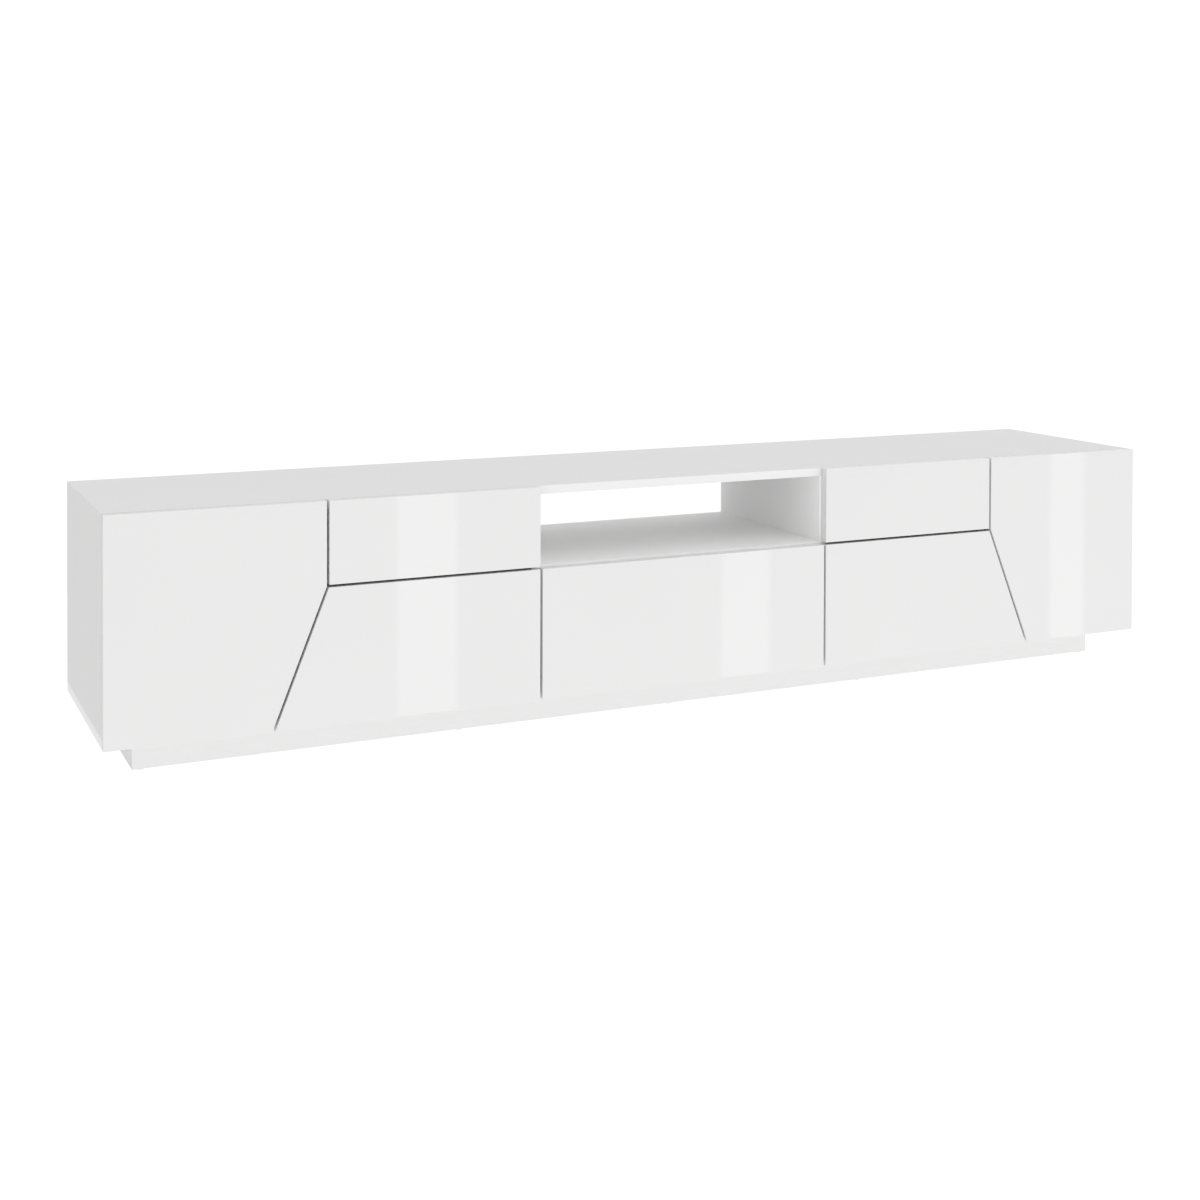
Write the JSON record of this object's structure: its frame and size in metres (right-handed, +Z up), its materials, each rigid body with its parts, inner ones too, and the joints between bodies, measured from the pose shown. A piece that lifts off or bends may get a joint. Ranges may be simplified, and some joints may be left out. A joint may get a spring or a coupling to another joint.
{
  "type": "tv stand",
  "caption": "Low gloss-white TV stand with slanted-edge side doors, upper drawers, drop-down flaps, an open niche and a recessed plinth.",
  "frame": {"origin": "middle of the base on the floor, under the middle of the stand's overall box", "axes": "+X to the right along the stand as seen from its front, +Y from the front to the back, +Z up"},
  "size_m": [2.2, 0.43, 0.458],
  "materials": {
    "gloss_lacquer": "high-gloss white lacquer on board",
    "matt_white": "matt white foil on board",
    "plinth_board": "satin white lacquer on board",
    "melamine": "fine-grained white melamine on chipboard",
    "hardboard": "white foil on thin fibreboard",
    "beech": "raw turned beech",
    "zinc_fittings": "zinc-plated, dull",
    "zinc_runners": "bright zinc-plated sheet",
    "nickel_hinges": "nickel-plated pressed steel",
    "white_plastic": "moulded, matt",
    "grey_plastic": "moulded, matt",
    "black_plastic": "moulded, matt"
  },
  "bodies": {
    "carcass": {"top_panel": "matt_white", "bottom_panel": "melamine", "left_side": "matt_white", "right_side": "matt_white", "left_inner_partition": "melamine", "right_inner_partition": "melamine", "left_niche_partition": "melamine", "right_niche_partition": "melamine", "niche_shelf": "melamine", "left_back_panel": "hardboard", "centre_back_panel": "hardboard", "right_back_panel": "hardboard", "left_loose_shelf": "melamine", "right_loose_shelf": "melamine", "shelf_pins": "zinc_fittings", "plinth_front": "plinth_board", "plinth_back": "plinth_board", "plinth_ends": "plinth_board", "plinth_braces": "melamine", "plinth_blocks": "black_plastic", "plinth_glides": "white_plastic", "dowels": "beech", "cam_bolts": "zinc_fittings", "cam_discs": "zinc_fittings", "hinge_plates": "nickel_hinges", "hinge_arms": "nickel_hinges", "latch_bodies": "grey_plastic", "runner_outer_rails": "zinc_runners"},
    "left_door_hinge_links": {"left_door_links": "nickel_hinges"},
    "left_door": {"left_door": "gloss_lacquer", "left_door_cups": "nickel_hinges"},
    "left_door_latch_plunger": {"left_door_plunger": "black_plastic"},
    "right_door_hinge_links": {"right_door_links": "nickel_hinges"},
    "right_door": {"right_door": "gloss_lacquer", "right_door_cups": "nickel_hinges"},
    "right_door_latch_plunger": {"right_door_plunger": "black_plastic"},
    "left_flap_hinge_links": {"left_flap_links": "nickel_hinges"},
    "left_flap": {"left_flap": "gloss_lacquer", "left_flap_cups": "nickel_hinges"},
    "left_flap_latch_plunger": {"left_flap_plunger": "black_plastic"},
    "centre_flap_hinge_links": {"centre_flap_links": "nickel_hinges"},
    "centre_flap": {"centre_flap": "gloss_lacquer", "centre_flap_cups": "nickel_hinges"},
    "centre_flap_latch_plunger": {"centre_flap_plunger": "black_plastic"},
    "right_flap_hinge_links": {"right_flap_links": "nickel_hinges"},
    "right_flap": {"right_flap": "gloss_lacquer", "right_flap_cups": "nickel_hinges"},
    "right_flap_latch_plunger": {"right_flap_plunger": "black_plastic"},
    "left_drawer": {"left_drawer_front": "gloss_lacquer", "left_drawer_sides": "melamine", "left_drawer_back": "melamine", "left_drawer_bottom": "hardboard", "left_runner_inner_rails": "zinc_runners"},
    "left_runner_mid": {"left_runner_mid_rails": "zinc_runners"},
    "right_drawer": {"right_drawer_front": "gloss_lacquer", "right_drawer_sides": "melamine", "right_drawer_back": "melamine", "right_drawer_bottom": "hardboard", "right_runner_inner_rails": "zinc_runners"},
    "right_runner_mid": {"right_runner_mid_rails": "zinc_runners"}
  },
  "joints": [
    {"name": "left_door_swing", "type": "hinge", "parent": "left_door_hinge_links", "child": "left_door", "pos_m": [-1.091, -0.201, 0.26], "axis": [0, 0, -1], "range_deg": [0, 117.59]},
    {"name": "right_door_swing", "type": "hinge", "parent": "right_door_hinge_links", "child": "right_door", "pos_m": [1.091, -0.201, 0.26], "axis": [0, 0, 1], "range_deg": [0, 117.59]},
    {"name": "left_flap_swing", "type": "hinge", "parent": "left_flap_hinge_links", "child": "left_flap", "pos_m": [-0.5185, -0.201, 0.071], "axis": [1, 0, 0], "range_deg": [0, 111.4]},
    {"name": "centre_flap_swing", "type": "hinge", "parent": "centre_flap_hinge_links", "child": "centre_flap", "pos_m": [0, -0.201, 0.071], "axis": [1, 0, 0], "range_deg": [0, 111.4]},
    {"name": "right_flap_swing", "type": "hinge", "parent": "right_flap_hinge_links", "child": "right_flap", "pos_m": [0.5185, -0.201, 0.071], "axis": [1, 0, 0], "range_deg": [0, 111.4]},
    {"name": "left_drawer_slide", "type": "slide", "parent": "carcass", "child": "left_drawer", "axis": [0, -1, 0], "range_m": [0, 0.3]},
    {"name": "right_drawer_slide", "type": "slide", "parent": "carcass", "child": "right_drawer", "axis": [0, -1, 0], "range_m": [0, 0.3]},
    {"name": "left_door_link_swing", "type": "hinge", "parent": "carcass", "child": "left_door_hinge_links", "pos_m": [-1.0673, -0.1918, 0.26], "axis": [0, 0, 1], "range_deg": [0, 22.79]},
    {"name": "left_door_plunger_slide", "type": "slide", "parent": "carcass", "child": "left_door_latch_plunger", "axis": [0, -1, 0], "range_m": [0, 0.0145]},
    {"name": "right_door_link_swing", "type": "hinge", "parent": "carcass", "child": "right_door_hinge_links", "pos_m": [1.0673, -0.1918, 0.26], "axis": [0, 0, -1], "range_deg": [0, 22.79]},
    {"name": "right_door_plunger_slide", "type": "slide", "parent": "carcass", "child": "right_door_latch_plunger", "axis": [0, -1, 0], "range_m": [0, 0.0145]},
    {"name": "left_flap_link_swing", "type": "hinge", "parent": "carcass", "child": "left_flap_hinge_links", "pos_m": [-0.5185, -0.1918, 0.0947], "axis": [-1, 0, 0], "range_deg": [0, 21.6]},
    {"name": "left_flap_plunger_slide", "type": "slide", "parent": "carcass", "child": "left_flap_latch_plunger", "axis": [0, -1, 0], "range_m": [0, 0.0145]},
    {"name": "centre_flap_link_swing", "type": "hinge", "parent": "carcass", "child": "centre_flap_hinge_links", "pos_m": [0, -0.1918, 0.0947], "axis": [-1, 0, 0], "range_deg": [0, 21.6]},
    {"name": "centre_flap_plunger_slide", "type": "slide", "parent": "carcass", "child": "centre_flap_latch_plunger", "axis": [0, -1, 0], "range_m": [0, 0.0145]},
    {"name": "right_flap_link_swing", "type": "hinge", "parent": "carcass", "child": "right_flap_hinge_links", "pos_m": [0.5185, -0.1918, 0.0947], "axis": [-1, 0, 0], "range_deg": [0, 21.6]},
    {"name": "right_flap_plunger_slide", "type": "slide", "parent": "carcass", "child": "right_flap_latch_plunger", "axis": [0, -1, 0], "range_m": [0, 0.0145]},
    {"name": "left_runner_mid_slide", "type": "slide", "parent": "carcass", "child": "left_runner_mid", "axis": [0, -1, 0], "range_m": [0, 0.1505]},
    {"name": "right_runner_mid_slide", "type": "slide", "parent": "carcass", "child": "right_runner_mid", "axis": [0, -1, 0], "range_m": [0, 0.1505]}
  ],
  "couplings": [
    {"joint": "left_door_link_swing", "follows": "left_door_swing", "ratio": 0.19212},
    {"joint": "left_door_plunger_slide", "follows": "left_door_swing", "m_per_rad": 0.006822},
    {"joint": "right_door_link_swing", "follows": "right_door_swing", "ratio": 0.19212},
    {"joint": "right_door_plunger_slide", "follows": "right_door_swing", "m_per_rad": 0.006822},
    {"joint": "left_flap_link_swing", "follows": "left_flap_swing", "ratio": 0.19212},
    {"joint": "left_flap_plunger_slide", "follows": "left_flap_swing", "m_per_rad": 0.007201},
    {"joint": "centre_flap_link_swing", "follows": "centre_flap_swing", "ratio": 0.19212},
    {"joint": "centre_flap_plunger_slide", "follows": "centre_flap_swing", "m_per_rad": 0.007201},
    {"joint": "right_flap_link_swing", "follows": "right_flap_swing", "ratio": 0.19212},
    {"joint": "right_flap_plunger_slide", "follows": "right_flap_swing", "m_per_rad": 0.007201},
    {"joint": "left_runner_mid_slide", "follows": "left_drawer_slide", "ratio": 0.5},
    {"joint": "right_runner_mid_slide", "follows": "right_drawer_slide", "ratio": 0.5}
  ]
}
